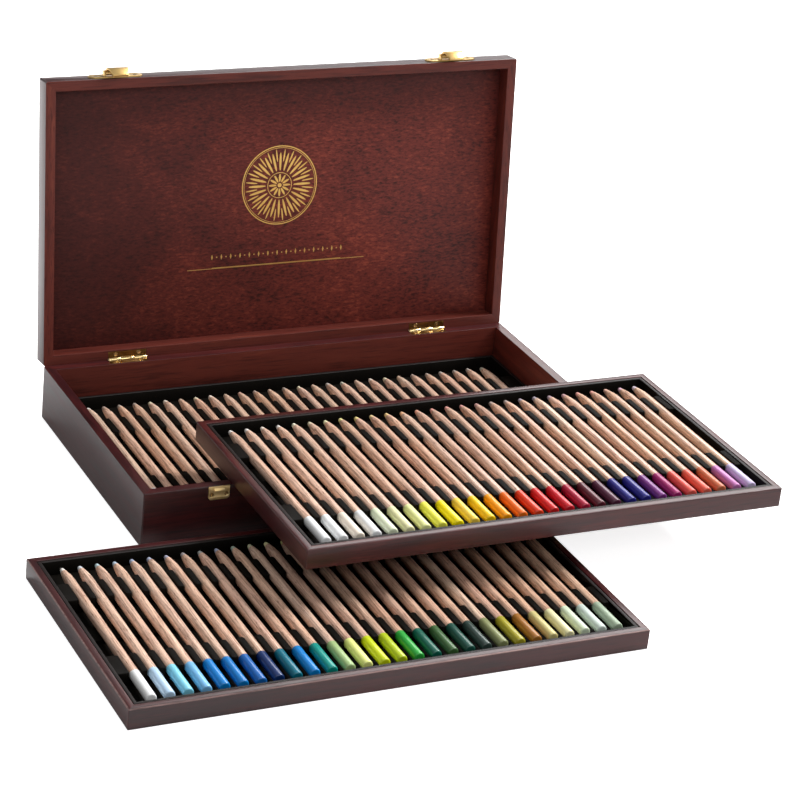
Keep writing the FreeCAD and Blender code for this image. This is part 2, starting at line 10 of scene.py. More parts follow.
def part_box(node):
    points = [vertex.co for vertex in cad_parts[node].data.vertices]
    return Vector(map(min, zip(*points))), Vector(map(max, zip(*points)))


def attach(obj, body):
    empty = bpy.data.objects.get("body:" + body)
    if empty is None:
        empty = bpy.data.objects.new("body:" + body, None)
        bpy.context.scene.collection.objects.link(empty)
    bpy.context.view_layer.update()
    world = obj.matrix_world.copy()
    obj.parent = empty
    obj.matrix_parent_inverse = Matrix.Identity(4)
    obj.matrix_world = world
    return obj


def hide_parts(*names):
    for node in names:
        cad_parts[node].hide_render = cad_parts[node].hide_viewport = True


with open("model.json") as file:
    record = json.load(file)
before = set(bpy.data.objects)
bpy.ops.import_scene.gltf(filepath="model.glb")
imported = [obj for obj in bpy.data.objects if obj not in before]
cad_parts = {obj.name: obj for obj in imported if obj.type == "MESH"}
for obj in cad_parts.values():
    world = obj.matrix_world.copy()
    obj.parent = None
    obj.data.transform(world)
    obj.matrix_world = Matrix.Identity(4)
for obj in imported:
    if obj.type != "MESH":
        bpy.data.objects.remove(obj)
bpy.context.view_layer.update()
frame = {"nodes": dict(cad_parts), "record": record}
nodes = frame["nodes"]
mm = 0.001
lean = math.radians(6.15)  # how far the open lid leans back from upright
print("frame loaded")


# camera
cameraValues = {
    "place": (-0.8366, -1.6983, 0.9125),
    "heading": 27.68,  # degrees to the right of straight ahead
    "drop": 24.5,  # and below level
    "roll": 6.12,
    "lens": 122.57,
}


def makeCamera(values):
    heading, drop, roll = (math.radians(values[name]) for name in ("heading", "drop", "roll"))
    ahead = Vector(
        (math.sin(heading) * math.cos(drop), math.cos(heading) * math.cos(drop), -math.sin(drop))
    )
    level = Vector((math.cos(heading), -math.sin(heading), 0))
    upright = level.cross(ahead)
    right = level * math.cos(roll) + upright * math.sin(roll)
    up = upright * math.cos(roll) - level * math.sin(roll)
    data = bpy.data.cameras.new("camera")
    data.lens = values["lens"]
    data.sensor_width = 36
    data.clip_start = 0.05
    data.clip_end = 60
    camera = bpy.data.objects.new("camera", data)
    bpy.context.collection.objects.link(camera)
    turn = Matrix((right, up, -ahead)).transposed().to_4x4()
    camera.matrix_world = Matrix.Translation(values["place"]) @ turn
    bpy.context.scene.camera = camera


makeCamera(cameraValues)


# materials: a wire is one socket's output, and sums on wires add the nodes for them
class Wire:
    def __init__(self, paint, socket):
        self.paint = paint
        self.socket = socket

    def __add__(self, other):
        return self.paint.maths("ADD", self, other)

    def __radd__(self, other):
        return self.paint.maths("ADD", other, self)

    def __sub__(self, other):
        return self.paint.maths("SUBTRACT", self, other)

    def __rsub__(self, other):
        return self.paint.maths("SUBTRACT", other, self)

    def __mul__(self, other):
        return self.paint.maths("MULTIPLY", self, other)

    def __rmul__(self, other):
        return self.paint.maths("MULTIPLY", other, self)


class Paint:
    # the nodes of one material, or of the world
    def __init__(self, name, owner=None):
        self.material = owner or bpy.data.materials.new(name)
        self.material.use_nodes = True
        self.tree = self.material.node_tree
        self.tree.nodes.clear()

    def node(self, kind, settings=None, inputs=None, output=0):
        made = self.tree.nodes.new(kind)
        for key, value in (settings or {}).items():
            if key == "stops":
                ramp = made.color_ramp
                while len(ramp.elements) < len(value):
                    ramp.elements.new(0.5)
                for element, (spot, colour) in zip(ramp.elements, value):
                    element.position = spot
                    element.color = (*colour, 1)
            else:
                setattr(made, key, value)
        for key, value in (inputs or {}).items():
            if isinstance(value, Wire):
                self.tree.links.new(value.socket, made.inputs[key])
            else:
                made.inputs[key].default_value = value
        return Wire(self, made.outputs[output]) if made.outputs else None

    def maths(self, operation, first, second):
        return self.node("ShaderNodeMath", {"operation": operation}, {0: first, 1: second})

    def spot(self):
        return self.node("ShaderNodeTexCoord", output="Object")

    def axis(self, vector, index):  # one of a vector's three numbers
        return self.node("ShaderNodeSeparateXYZ", None, {0: vector}, output=index)

    def span(self, value, low, high, first, second, kind="LINEAR"):  # first at low, second at high
        settings = {"clamp": True, "interpolation_type": kind}
        inputs = {0: value, 1: low, 2: high, 3: first, 4: second}
        return self.node("ShaderNodeMapRange", settings, inputs)

    def place(self, turn=(0, 0, 0), shift=(0, 0, 0)):
        inputs = {"Vector": self.spot(), "Rotation": turn, "Location": shift}
        return self.node("ShaderNodeMapping", {"vector_type": "POINT"}, inputs)

    def noise(self, place, scale, detail=2.0, rough=0.5, distortion=0.0):
        return self.node(
            "ShaderNodeTexNoise",
            None,
            {
                "Vector": place,
                "Scale": scale,
                "Detail": detail,
                "Roughness": rough,
                "Distortion": distortion,
            },
        )

    def stretch(self, place, scale):
        return self.node("ShaderNodeVectorMath", {"operation": "MULTIPLY"}, {0: place, 1: scale})

    def ramp(self, value, stops, smooth=False):
        node = self.node("ShaderNodeValToRGB", {"stops": stops}, {"Fac": value})
        node.socket.node.color_ramp.interpolation = "EASE" if smooth else "LINEAR"
        return node

    def fade(self, value, low, high):  # black at low, white at high
        return self.ramp(value, [(low, (0, 0, 0)), (high, (1, 1, 1))])

    def mix(self, share, first, second, blend="MIX"):
        first, second = (
            value if isinstance(value, Wire) else (*value, 1) for value in (first, second)
        )
        settings = {"data_type": "RGBA", "blend_type": blend}
        return self.node("ShaderNodeMix", settings, {0: share, 6: first, 7: second}, output=2)

    def bump(self, height, strength, distance):
        inputs = {"Height": height, "Strength": strength, "Distance": distance}
        return self.node("ShaderNodeBump", None, inputs)

    def rays(self):
        node = self.node("ShaderNodeLightPath").socket.node
        names = ("Is Camera Ray", "Is Glossy Ray", "Is Transmission Ray")
        return [Wire(self, node.outputs[name]) for name in names]

    def finish(self, colour, rough, **sockets):
        colour = colour if isinstance(colour, Wire) else (*colour, 1)
        inputs = {"Base Color": colour, "Roughness": rough}
        inputs.update({name.replace("_", " "): value for name, value in sockets.items()})
        shader = self.node("ShaderNodeBsdfPrincipled", None, inputs)
        self.node("ShaderNodeOutputMaterial", None, {"Surface": shader})
        return self.material


def linear(red, green, blue):  # from screen values, 0 to 255
    shares = (red / 255, green / 255, blue / 255)
    return tuple(c / 12.92 if c <= 0.04045 else ((c + 0.055) / 1.055) ** 2.4 for c in shares)


railWood = {
    "dark": linear(40, 11, 14),
    "middle": linear(63, 19, 20),
    "light": linear(88, 31, 29),
    "pore": linear(20, 5, 8),
    "toneStops": (0.34, 0.5, 0.68),
    "poreStops": (0.54, 0.68),
    "cloudLength": 9.0,  # patches, streaks and pores are this many times longer than wide
    "cloudSize": 15.0,
    "cloudShare": 0.5,
    "streakLength": 12.0,
    "streakSize": 230.0,
    "poreLength": 26.0,
    "poreSize": 950.0,
    "poreDepth": 0.5,
    "rough": 0.36,
    "roughSpread": 0.14,
    "specular": 0.35,
    "coat": 0.3,
    "coatRough": 0.24,
    "bump": 0.1,
    "bumpDepth": 0.4 * mm,
    "streakRise": 0.5,
    "poreDip": 0.6,
}
innerWood = dict(
    railWood,
    dark=linear(71, 27, 21),
    middle=linear(99, 41, 32),
    light=linear(127, 60, 45),
    pore=linear(48, 16, 14),
    rough=0.5,
    specular=0.25,
    coat=0.06,
    coatRough=0.35,
)
panelWood = dict(
    railWood,
    dark=linear(54, 22, 21),
    middle=linear(106, 43, 36),
    light=linear(144, 64, 50),
    pore=linear(34, 11, 12),
    cloudLength=0.8,
    cloudShare=0.3,
    streakLength=2.6,
    streakSize=560.0,
    poreLength=3.4,
    poreSize=1100.0,
    poreDepth=0.55,
    rough=0.55,
    specular=0.2,
    coat=0.05,
    coatRough=0.35,
    bump=0.16,
    paintedShade=[  # painted shade: darker towards the left end, and towards the top under the lid's front rail
        {"axis": 0, "from": -190 * mm, "to": 40 * mm, "shares": (0.7, 0.0), "uneven": 120 * mm},
        {"axis": 2, "from": 200 * mm, "to": 264 * mm, "shares": (0.0, 0.75), "uneven": 30 * mm},
    ],
)
# a lighter wood on the lower tray's top outer edges: a painted highlight
wornWood = dict(
    railWood,
    dark=linear(92, 66, 64),
    middle=linear(132, 102, 98),
    light=linear(160, 130, 124),
)


def stainedWood(name, turn, shift, values):  # its grain runs along X once turned
    paint = Paint(name)
    place = paint.place(turn=turn, shift=shift)
    wide = paint.stretch(place, (1 / values["cloudLength"], 1, 1))
    clouds = paint.noise(wide, values["cloudSize"], detail=4, rough=0.55, distortion=0.9)
    along = paint.stretch(place, (1 / values["streakLength"], 1, 1))
    streaks = paint.noise(along, values["streakSize"], detail=5, rough=0.6, distortion=0.4)
    long = paint.stretch(place, (1 / values["poreLength"], 1, 1))
    pores = paint.noise(long, values["poreSize"])
    mottle = clouds * values["cloudShare"] + streaks * (1 - values["cloudShare"])
    tones = (values["dark"], values["middle"], values["light"])
    colour = paint.ramp(mottle, list(zip(values["toneStops"], tones)), smooth=True)
    flecks = paint.fade(pores, *values["poreStops"])
    colour = paint.mix(flecks * values["poreDepth"], colour, values["pore"])
    # painted shade laid over the grain, darkening the panel's left end and top
    if "paintedShade" in values:
        left, top = (
            paint.span(
                paint.axis(paint.spot(), side["axis"]) + (clouds - 0.5) * side["uneven"],
                side["from"],
                side["to"],
                *side["shares"],
                kind="SMOOTHSTEP",
            )
            for side in values["paintedShade"]
        )
        colour = paint.mix(paint.maths("MAXIMUM", left, top), colour, values["dark"])
    relief = streaks * values["streakRise"] - flecks * values["poreDip"]
    normal = paint.bump(relief, values["bump"], values["bumpDepth"])
    return paint.finish(
        colour,
        values["rough"] + (streaks - 0.5) * values["roughSpread"],
        Specular_IOR_Level=values["specular"],
        Coat_Weight=values["coat"],
        Coat_Roughness=values["coatRough"],
        Normal=normal,
    )


quarter = math.pi / 2
grainWays = {"x": (0, 0, 0), "y": (0, 0, -quarter), "z": (0, quarter, 0)}
woodShifts = {
    "base": (0, 0, 0),
    "lid": (0.37, 0.37, 0),
    "upper": (0.81, 0.81, 0),
    "lower": (1.33, 1.33, 0),
}
woods = {}
for group, shift in woodShifts.items():
    for way in ("x", "z" if group == "lid" else "y"):
        woods[group, way] = stainedWood(f"wood_{group}_{way}", grainWays[way], shift, railWood)
woods["worn"] = stainedWood("wood_worn_edge", grainWays["x"], (1.7, 1.7, 0), wornWood)
woods["lid", "panel"] = stainedWood("wood_lid_panel", grainWays["x"], (0.1, 0.6, 0.2), panelWood)
for way in ("x", "y", "z"):
    woods["inner", way] = stainedWood(f"wood_inner_{way}", grainWays[way], (2.1, 2.1, 0), innerWood)
print("woods mixed")

blackValues = {"colour": linear(12, 9, 6), "rough": 0.6, "specular": 0.07}
flangeValues = {"colour": linear(26, 20, 19), "rough": 0.5, "specular": 0.3}


def moulded(name, values):
    paint = Paint(name)
    place = paint.place()
    fine = paint.noise(place, 900)
    broad = paint.noise(place, 60)
    darker, lighter = (tuple(c * share for c in values["colour"]) for share in (0.8, 1.25))
    colour = paint.mix(broad, darker, lighter)
    return paint.finish(
        colour,
        values["rough"] + (broad - 0.5) * 0.1,
        Specular_IOR_Level=values["specular"],
        Normal=paint.bump(fine, strength=0.08, distance=0.2 * mm),
    )


black = moulded("moulded_black", blackValues)
flange = moulded("moulded_flange", flangeValues)

brassValues = {"light": linear(252, 230, 176), "dark": linear(222, 184, 116), "rough": 0.24}
brushedValues = {"light": linear(238, 206, 138), "dark": linear(176, 134, 74), "rough": 0.34}
# a darker brass for painted shade on the hinge leaves' flats and the clasp's screw heads
shadedBrassValues = {"light": linear(150, 112, 60), "dark": linear(104, 72, 36), "rough": 0.3}
goldValues = {"light": linear(226, 188, 112), "dark": linear(196, 150, 76), "rough": 0.36}


def brass(name, values, way=(1, 1, 1)):  # brushed along the axis where way is smallest
    paint = Paint(name)
    place = paint.place()
    brushed = paint.noise(paint.stretch(place, way), 2500, rough=0.6)
    patches = paint.noise(place, 120, detail=3)
    colour = paint.mix(patches, values["light"], values["dark"])
    return paint.finish(
        colour,
        values["rough"] + (brushed - 0.5) * 0.16,
        Metallic=1.0,
        Normal=paint.bump(brushed, strength=0.05, distance=0.1 * mm),
    )


polishedBrass = brass("polished_brass", brassValues)
satinBrass = brass("satin_brass", dict(brassValues, rough=0.5))
brushedBrass = brass("brushed_brass", brushedValues, (0.05, 1, 1))
shadedBrass = brass("brass_painted_shade", shadedBrassValues)


# pieces
def addPiece(name, work, body, materials, standsFor=()):
    mesh = bpy.data.meshes.new(name)
    work.to_mesh(mesh)
    work.free()
    piece = bpy.data.objects.new(name, mesh)
    bpy.context.collection.objects.link(piece)
    for material in materials:
        mesh.materials.append(material)
    if standsFor:
        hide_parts(*standsFor)
    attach(piece, body)


def cleanCopy(node):  # a node's solid with its triangles joined to whole faces
    work = bmesh.new()
    work.from_mesh(nodes[node].data)
    bmesh.ops.remove_doubles(work, verts=work.verts, dist=0.002 * mm)
    bmesh.ops.dissolve_limit(
        work,
        angle_limit=math.radians(0.5),
        verts=work.verts,
        edges=work.edges,
        delimit=set(),
    )
    return work


def softenEdges(work, width, segments, chosen):
    edges = [edge for edge in work.edges if len(edge.link_faces) == 2 and chosen(edge)]
    bmesh.ops.bevel(
        work,
        geom=edges,
        offset=width,
        offset_type="OFFSET",
        segments=segments,
        profile=0.5,
        affect="EDGES",
        clamp_overlap=True,
        material=-1,
    )


def smoothFaces(work, sharp=30):
    for face in work.faces:
        face.smooth = True
    for edge in work.edges:
        edge.smooth = len(edge.link_faces) == 2 and edge.calc_face_angle(0) < math.radians(sharp)


def bent(edge, least=20):
    return edge.calc_face_angle(0) > math.radians(least)


hinge = Vector((0, 111 * mm, 43.05 * mm))  # on the line that the lid turns about
railValues = {
    "edge": 0.5 * mm,
    "segments": 3,
    "least": 30 * mm,  # shorter edges stay sharp
    "lidMiddle": 155 * mm,  # above the table
    "inner": 50 * mm,  # a face that looks inwards from further out than this is an inner one
    "rim": 0.7,  # a face of the lid is on its rim if it looks to the front by more than this
    "upright": 0.5,  # a wall's face is upright if it looks up or down by less than this
    "paintedHighlight": 0.2,  # a tray's edge takes the painted highlight where it looks both up and outwards by more
    "outwards": {"front": (0, -1, 0), "back": (0, 1, 0), "left": (-1, 0, 0), "right": (1, 0, 0)},
    "lip": 0.08 * mm,  # the back wall's edge reaches up to the lid's, so no light comes through
}
bodies = frame["record"]["behaviour"]["bodies"]
bodyOf = {node: body for body, group in bodies.items() for node in group}


def atHinge(edge):  # box and lid meet there, and stay sharp
    near = 0.2 * mm
    return all(
        abs(vert.co.y - hinge.y) < near and abs(vert.co.z - hinge.z) < near for vert in edge.verts
    )


def takesInner(node, face):  # the redder wood inside, the lid's rim, or a tray's edge with its painted highlight
    x, y, z = face.calc_center_median()
    normal = face.normal
    if node.startswith("lid"):
        inwards = -normal.x * x - normal.z * (z - railValues["lidMiddle"])
        return normal.y < -railValues["rim"] or inwards > railValues["inner"]
    if "_tray_" in node:
        outwards = normal.dot(Vector(railValues["outwards"][node.split("_")[2]]))
        return min(normal.z, outwards) > railValues["paintedHighlight"]
    inwards = -normal.x * x - normal.y * y
    return abs(normal.z) < railValues["upright"] and inwards > railValues["inner"]


def makeRail(node, material, inner):  # its long edges are eased as sandpaper leaves them
    work = cleanCopy(node)
    softenEdges(
        work,
        railValues["edge"],
        railValues["segments"],
        lambda edge: bent(edge) and edge.calc_length() > railValues["least"] and not atHinge(edge),
    )
    if node == "base_back_wall":
        meeting = {vert for edge in work.edges if atHinge(edge) for vert in edge.verts}
        bmesh.ops.translate(work, vec=(0, 0, railValues["lip"]), verts=list(meeting))
    smoothFaces(work)
    if inner:
        for face in work.faces:
            face.material_index = 1 if takesInner(node, face) else 0
    finishes = [material, inner] if inner else [material]
    addPiece(f"{node}_wood", work, bodyOf[node], finishes, [node])


for node in nodes:
    if node.endswith(("_rail", "_wall", "_panel")):
        group = node.split("_")[0]
        across = "z" if group == "lid" else "y"
        way = "x" if any(part in node for part in ("front", "back", "panel")) else across
        inner = None
        if node == "lid_panel":
            inner = woods["lid", "panel"]
        elif group in ("base", "lid") and "panel" not in node:
            inner = woods["inner", way]
        # the lower tray's rails carry a painted highlight along their top outer edges
        elif group == "lower" and node.endswith("_rail"):
            inner = woods["worn"]
        makeRail(node, woods[group, way], inner)
print("box, lid and trays made")

insertValues = {
    "edge": 1.0 * mm,
    "corner": 1.5 * mm,
    "segments": 3,
    "rim": 0.35 * mm,
    "rimSegments": 2,
    "near": 0.05 * mm,  # an edge closer than this to a level is on it
    "upright": 1 * mm,  # an edge that climbs more than this is a corner
}


def makeInsert(node):
    work = cleanCopy(node)
    values = insertValues
    comb, rim = sorted({round(vert.co.z, 5) for vert in work.verts})[-2:]

    def corner(edge):  # upright, with its top at the comb's
        low, high = sorted(vert.co.z for vert in edge.verts)
        return bent(edge) and abs(high - comb) < values["near"] and high - low > values["upright"]

    def level(edge, height):
        return bent(edge) and all(abs(vert.co.z - height) < values["near"] for vert in edge.verts)

    softenEdges(work, values["corner"], values["segments"], corner)
    softenEdges(work, values["edge"], values["segments"], lambda edge: level(edge, comb))
    softenEdges(work, values["rim"], values["rimSegments"], lambda edge: level(edge, rim))
    smoothFaces(work, 35)
    for face in work.faces:
        face.material_index = 1 if face.calc_center_median().z > rim - values["rim"] else 0
    addPiece(f"{node}_moulding", work, bodyOf[node], [black, flange], [node])


for node in ("base_insert", "upper_tray_insert", "lower_tray_insert"):
    makeInsert(node)
print("inserts made")

# pencils: natural wood with a dipped coloured end and a sharpened point
pigments = {
    "white": (250, 251, 251),
    "ivory": (248, 234, 216),
    "limeCream": (230, 238, 204),
    "sand": (236, 232, 180),
    "paleLemon": (242, 246, 168),
    "lemon": (246, 242, 84),
    "yellow": (255, 232, 0),
    "ochreYellow": (250, 212, 76),
    "golden": (255, 206, 0),
    "amber": (255, 162, 0),
    "orange": (240, 110, 20),
    "vermilion": (226, 62, 24),
    "red": (214, 30, 30),
    "scarlet": (204, 24, 40),
    "crimson": (172, 24, 58),
    "maroon": (92, 32, 44),
    "plum": (84, 34, 60),
    "ultramarine": (40, 38, 130),
    "purple": (122, 50, 130),
    "magenta": (164, 34, 106),
    "coral": (232, 92, 80),
    "salmon": (236, 104, 84),
    "sienna": (204, 112, 74),
    "orchid": (196, 118, 182),
    "lavender": (206, 190, 226),
    "skyBlue": (190, 220, 246),
    "paleCyan": (132, 212, 236),
    "iceBlue": (124, 190, 236),
    "azure": (0, 128, 206),
    "cerulean": (0, 120, 196),
    "cobalt": (16, 98, 176),
    "navy": (12, 46, 102),
    "petrol": (0, 110, 132),
    "teal": (0, 150, 138),
    "sage": (168, 196, 132),
    "paleLime": (236, 242, 142),
    "lime": (206, 220, 16),
    "grass": (184, 204, 26),
    "green": (44, 168, 62),
    "leaf": (10, 96, 78),
    "moss": (62, 100, 54),
    "pine": (26, 80, 68),
    "slate": (50, 68, 62),
    "khaki": (140, 146, 98),
    "olive": (172, 162, 42),
    "ochre": (166, 108, 40),
    "reed": (212, 198, 130),
    "cream": (238, 232, 180),
    "paleSage": (216, 230, 200),
    "mint": (208, 222, 212),
    "fog": (166, 184, 158),
    "grey": (150, 150, 148),
    "charcoal": (60, 60, 62),
    "umber": (90, 60, 42),
    "chestnut": (120, 66, 42),
    "tan": (190, 140, 96),
}
rows = {
    "upper_tray": "white white ivory white limeCream sand paleLemon lemon yellow ochreYellow golden"
    " amber orange vermilion red scarlet crimson maroon plum ultramarine ultramarine purple magenta"
    " coral salmon sienna orchid lavender",
    "lower_tray": "white skyBlue paleCyan iceBlue azure cerulean cobalt navy petrol azure teal sage"
    " paleLime lime grass green leaf moss pine slate khaki olive ochre reed cream paleSage mint fog",
    "base": "white chestnut charcoal umber sand ivory tan sand ivory tan sienna chestnut tan umber"
    " sand tan grey fog tan ivory sand tan chestnut umber grey charcoal grey fog",
}
pencilValues = {
    "length": 176.5 * mm,
    "radius": 3.7 * mm,
    "pitch": 12.6 * mm,
    "count": 28,
    "sides": 32,
    "dipLength": 31.8 * mm,
    "dipThick": 0.09 * mm,
    "endRound": 0.6 * mm,
    "endProfile": [(2.6, 0.0), (1.2, 0.12), (0.3, 0.6), (0.0, 1.6)],  # in and along, in endRounds
    "pointLength": 18.0 * mm,
    "pointCrown": 0.3 * mm,
    "coreShows": 5.0 * mm,
    "tipRadius": 1.35 * mm,
    "tipProfile": [(0.86, 0.32 * mm), (0.5, 0.08 * mm), (0.0, 0.0)],  # in tip radii, from the end
    "wander": 0.5 * mm,
}


# about the Y axis, its dipped end to the front; materials are 0 wood, 1 dip, 2 cut, 3 core
def pencilShape(values):
    half = values["length"] / 2
    radius = values["radius"]
    thick = radius + values["dipThick"]
    soft = values["endRound"]
    dipEnd = -half + values["dipLength"]
    cut = half - values["pointLength"]
    coreStart = half - values["coreShows"]
    tip = values["tipRadius"]
    share = values["coreShows"] / values["pointLength"]
    coreRadius = tip + (radius - tip) * share + values["pointCrown"] * 0.8
    waist = tip + (radius - tip) * (1 + share) / 2 + values["pointCrown"]
    line = [
        (0, -half, 1),
        *[(thick - inwards * soft, -half + along * soft, 1) for inwards, along in values["endProfile"]],
        (thick, dipEnd - 0.35 * mm, 1),  # the paint thins out to a lip
        (radius + 0.6 * values["dipThick"], dipEnd - 0.08 * mm, 1),
        (radius, dipEnd, 0),
        (radius, dipEnd + 0.2 * mm, 0),
        (radius, cut - 0.15 * mm, 0),  # a crisp step where the cutter bit
        (radius - 0.03 * mm, cut, 2),
        (radius - 0.1 * mm, cut + 0.5 * mm, 2),
        (waist, (cut + coreStart) / 2, 2),
        (coreRadius, coreStart, 3),
        (coreRadius - 0.05 * mm, coreStart + 0.12 * mm, 3),
        (tip + 0.1 * mm, half - 0.75 * mm, 3),
        *[(tip * width, half - back, 3) for width, back in values["tipProfile"]],
    ]
    work = bmesh.new()
    verts = [work.verts.new((0, y, r)) for r, y, part in line]
    edges = [work.edges.new(pair) for pair in zip(verts, verts[1:])]
    bmesh.ops.spin(
        work,
        geom=verts + edges,
        axis=(0, 1, 0),
        cent=(0, 0, 0),
        angle=2 * math.pi,
        steps=values["sides"],
        use_merge=True,
    )
    bmesh.ops.remove_doubles(work, verts=work.verts, dist=0.003 * mm)
    bmesh.ops.recalc_face_normals(work, faces=work.faces)
    spots = [y for r, y, part in line]
    for face in work.faces:
        lowest = min(vert.co.y for vert in face.verts)
        index = max(i for i, y in enumerate(spots) if y <= lowest + 0.001 * mm)
        face.material_index = line[index][2]
        face.smooth = True
    return work


def makePencils(row):
    values = pencilValues
    node = f"{row}_pencils"
    low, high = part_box(node)
    middle = [(a + b) / 2 for a, b in zip(low, high)]
    chance = random.Random(len(node) * 7)
    names = rows[row].split()
    one = pencilShape(values)
    mesh = bpy.data.meshes.new("pencil")
    one.to_mesh(mesh)
    one.free()
    work = bmesh.new()
    ink = work.verts.layers.float_color.new("ink")
    shade = work.verts.layers.float_color.new("shade")
    for index in range(values["count"]):
        before = len(work.verts)
        work.from_mesh(mesh)
        work.verts.ensure_lookup_table()
        fresh = work.verts[before:]
        shift = Vector(
            (
                middle[0] + (index - (values["count"] - 1) / 2) * values["pitch"],
                middle[1] + chance.uniform(-1, 1) * values["wander"],
                middle[2],
            )
        )
        spin = Matrix.Rotation(chance.uniform(0, 2 * math.pi), 4, "Y")
        bmesh.ops.transform(work, matrix=Matrix.Translation(shift) @ spin, verts=fresh)
        colour = linear(*pigments[names[index]])
        tones = [chance.random() for _ in range(3)]
        for vert in fresh:
            vert[ink] = (*colour, 1)
            vert[shade] = (*tones, 1)
    bpy.data.meshes.remove(mesh)
    finishes = [pencilWood, dippedEnd, cutWood, pastelCore]
    addPiece(f"{node}_round", work, bodyOf[node], finishes, [node])


cedarValues = {
    "pale": linear(252, 226, 202),
    "warm": linear(236, 190, 156),
    "pink": linear(240, 196, 180),
    "line": linear(116, 62, 44),
    "apart": (0.4, 3.1, 0.7),  # how far from each other the pencils are cut
    "flushShare": 0.6,
    "broadShare": 0.55,
    "streakShare": 0.6,
    "fleckShare": 0.46,
    "depthShare": 0.14,
}


def cedar(name, values, rough, coat, tone):  # each pencil has its own tone and stretch of grain
    paint = Paint(name)
    place = paint.place()
    shade = paint.node("ShaderNodeAttribute", {"attribute_name": "shade"}, output="Vector")
    warmth, flush, depth = (paint.axis(shade, index) for index in range(3))
    apart = paint.stretch(shade, values["apart"])
    moved = paint.node("ShaderNodeVectorMath", {"operation": "ADD"}, {0: place, 1: apart})
    broad = paint.noise(paint.stretch(moved, (1, 0.04, 1)), 420, detail=3, distortion=0.3)
    fine = paint.noise(paint.stretch(moved, (1, 0.03, 1)), 1300, detail=4, rough=0.65)
    flecks = paint.noise(paint.stretch(moved, (1, 0.16, 1)), 1500)
    body = paint.mix(warmth, values["pale"], values["warm"])
    body = paint.mix(flush * values["flushShare"], body, values["pink"])
    body = paint.mix(broad, body, paint.mix(values["broadShare"], body, values["warm"]))
    streak = paint.fade(fine, 0.45, 0.62) * values["streakShare"]
    fleck = paint.fade(flecks, 0.6, 0.7) * values["fleckShare"]
    colour = paint.mix(streak + fleck, body, values["line"])
    colour = paint.mix(depth * values["depthShare"], colour, (0, 0, 0))
    colour = paint.mix(1.0, colour, (tone, tone, tone), "MULTIPLY")
    return paint.finish(
        colour,
        rough + (fine - 0.5) * 0.15,
        Specular_IOR_Level=0.5,
        Coat_Weight=coat,
        Coat_Roughness=0.24,
        Normal=paint.bump(fine, strength=0.06, distance=0.1 * mm),
    )


pencilWood = cedar("cedar_lacquered", cedarValues, rough=0.36, coat=0.8, tone=1.06)
cutWood = cedar("cedar_cut", cedarValues, rough=0.7, coat=0.0, tone=0.94)


def dipPaint():
    paint = Paint("dipped_end")
    ink = paint.node("ShaderNodeAttribute", {"attribute_name": "ink"}, output="Color")
    cloudy = paint.noise(paint.place(), 260)
    colour = paint.mix(cloudy * 0.04, ink, (0.02, 0.02, 0.02))
    rough = 0.36 + (cloudy - 0.5) * 0.04
    return paint.finish(colour, rough, Coat_Weight=0.4, Coat_Roughness=0.22)


def corePaint():
    paint = Paint("pastel_core")
    ink = paint.node("ShaderNodeAttribute", {"attribute_name": "ink"}, output="Color")
    grain = paint.noise(paint.place(), 2200, detail=3, rough=0.6)
    colour = paint.mix(grain * 0.3 + 0.35, ink, (0.82, 0.7, 0.6))
    normal = paint.bump(grain, strength=0.25, distance=0.3 * mm)
    return paint.finish(colour, 0.85, Specular_IOR_Level=0.2, Normal=normal)


dippedEnd = dipPaint()
pastelCore = corePaint()
for row in ("base", "upper_tray", "lower_tray"):
    makePencils(row)
print("pencils made")

# brass fittings
brassEdges = {"width": 0.12 * mm, "segments": 2, "knuckle": 2.3 * mm}


def makeFitting(node, material, shaded=None):  # a leaf has the darker brass of painted shade outside its knuckles
    work = cleanCopy(node)
    softenEdges(work, brassEdges["width"], brassEdges["segments"], lambda edge: bent(edge, 35))
    smoothFaces(work, 35)
    if shaded:
        for face in work.faces:
            away = face.calc_center_median() - hinge
            face.material_index = 1 if math.hypot(away.y, away.z) > brassEdges["knuckle"] else 0
    finishes = [material, shaded] if shaded else [material]
    addPiece(f"{node}_metal", work, bodyOf[node], finishes, [node])


for node in nodes:
    if node.endswith("_leaf"):
        makeFitting(node, polishedBrass, shadedBrass)
    elif node.endswith("_plate"):
        makeFitting(node, satinBrass if "catch" in node else brushedBrass)
    elif node.endswith("_lever"):
        makeFitting(node, brushedBrass)
    elif node.endswith("_pin"):
        nodes[node].data.materials.clear()
        nodes[node].data.materials.append(polishedBrass)

screwValues = {
    "head": 1.6 * mm,
    "sides": 24,
    "dome": 0.035 * mm,  # the heads of the two leaves lie face to face in the closed box
    "crown": 1.15,  # its middle is this many times as high
    "chamfer": 0.05 * mm,
    "deep": 0.55 * mm,
    "slotWide": 0.42 * mm,
    "slotDeep": 0.35 * mm,
}


